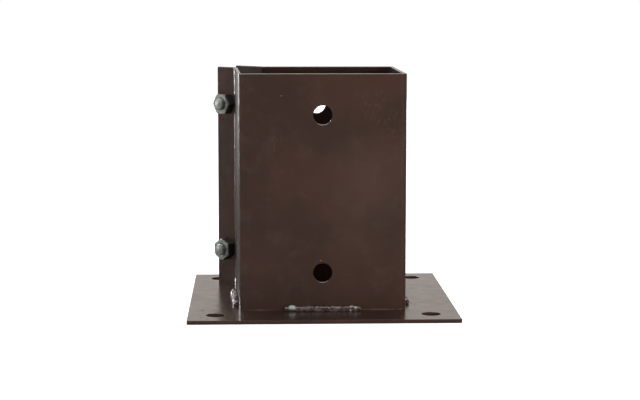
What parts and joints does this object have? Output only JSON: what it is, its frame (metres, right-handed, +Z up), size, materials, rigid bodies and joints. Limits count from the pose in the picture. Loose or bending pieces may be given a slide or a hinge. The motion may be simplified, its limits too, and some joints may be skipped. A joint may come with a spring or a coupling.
{
  "type": "timber post base",
  "caption": "Bolt-down base for a square timber post: square plate with corner anchor holes under a welded folded sleeve, whose corner ears are drawn together by clamp bolts.",
  "frame": {"origin": "centre of the base plate's underside, where it stands on the concrete", "axes": "+Z up along the post, -Y towards the plain front face with the post holes, +X to the right of someone who faces that face, so the clamp ears are at the corner towards -X and +Y"},
  "size_m": [0.17, 0.17, 0.1525],
  "materials": {
    "brown_paint": "satin",
    "painted_weld": "rough satin",
    "zinc": "dull zinc plate"
  },
  "bodies": {
    "root": {"base_plate": "brown_paint", "post_sleeve": "brown_paint", "weld_front": "painted_weld", "weld_left": "painted_weld", "weld_right": "painted_weld", "weld_back": "painted_weld", "clamp_bolt_upper": "zinc", "clamp_nut_upper": "zinc", "clamp_bolt_lower": "zinc", "clamp_nut_lower": "zinc"}
  },
  "joints": []
}
